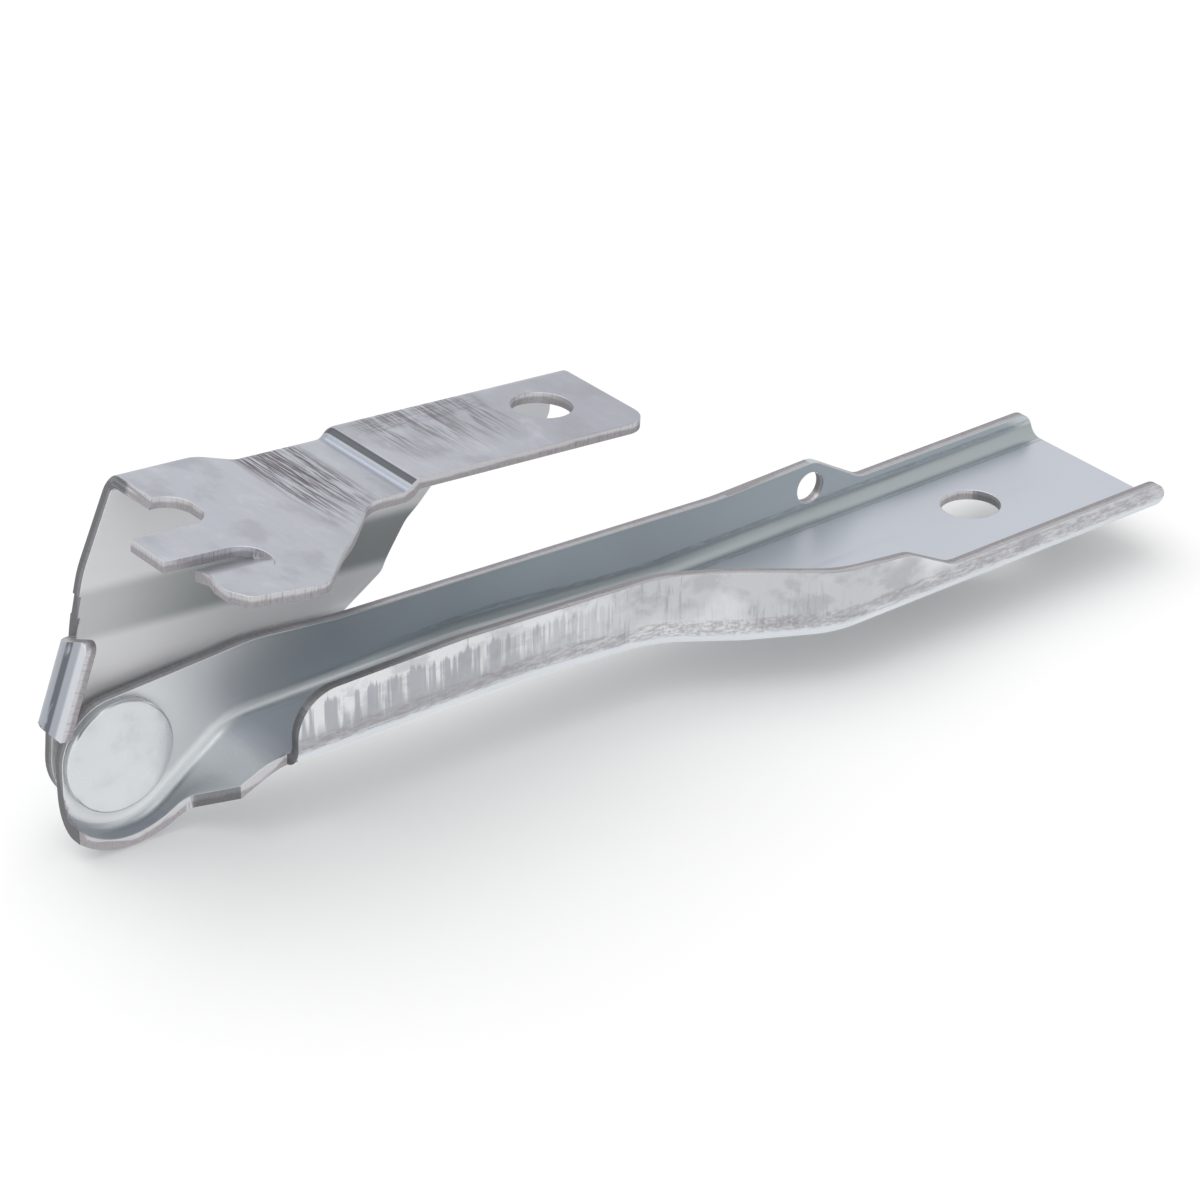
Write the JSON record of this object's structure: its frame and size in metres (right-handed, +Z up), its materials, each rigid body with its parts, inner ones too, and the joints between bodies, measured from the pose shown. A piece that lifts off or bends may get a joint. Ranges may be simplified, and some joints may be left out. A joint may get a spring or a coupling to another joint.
{
  "type": "bonnet hinge",
  "caption": "Zinc-plated pressed-steel bonnet hinge: a long channel arm and a short winged bracket turn on a riveted pivot, with a folded stop tab and bolt holes.",
  "frame": {"origin": "middle of the long arm's bolt hole, on the underside of its floor", "axes": "+X along the long arm towards its bolt hole end, +Y along the pivot from the open side of the hinge to its rear wall, +Z up, out of the arm's channel"},
  "size_m": [0.2161, 0.0578, 0.0659],
  "materials": {
    "arm_sheet": "zinc plated, satin",
    "bracket_sheet": "zinc plated, satin with die marks",
    "rivet_steel": "zinc plated, smooth",
    "bush_bronze": "sintered, dull",
    "washer_steel": "zinc plated, dull"
  },
  "bodies": {
    "arm": {"hinge_arm": "arm_sheet", "pivot_bush": "bush_bronze"},
    "bracket": {"bonnet_bracket": "bracket_sheet", "pivot_rivet": "rivet_steel", "thrust_washer": "washer_steel", "backing_washer": "washer_steel"}
  },
  "joints": [
    {"name": "bonnet_swing", "type": "hinge", "parent": "arm", "child": "bracket", "pos_m": [-0.1747, 0.0153, 0.0069], "axis": [0, -1, 0], "range_deg": [-9, 78]}
  ]
}
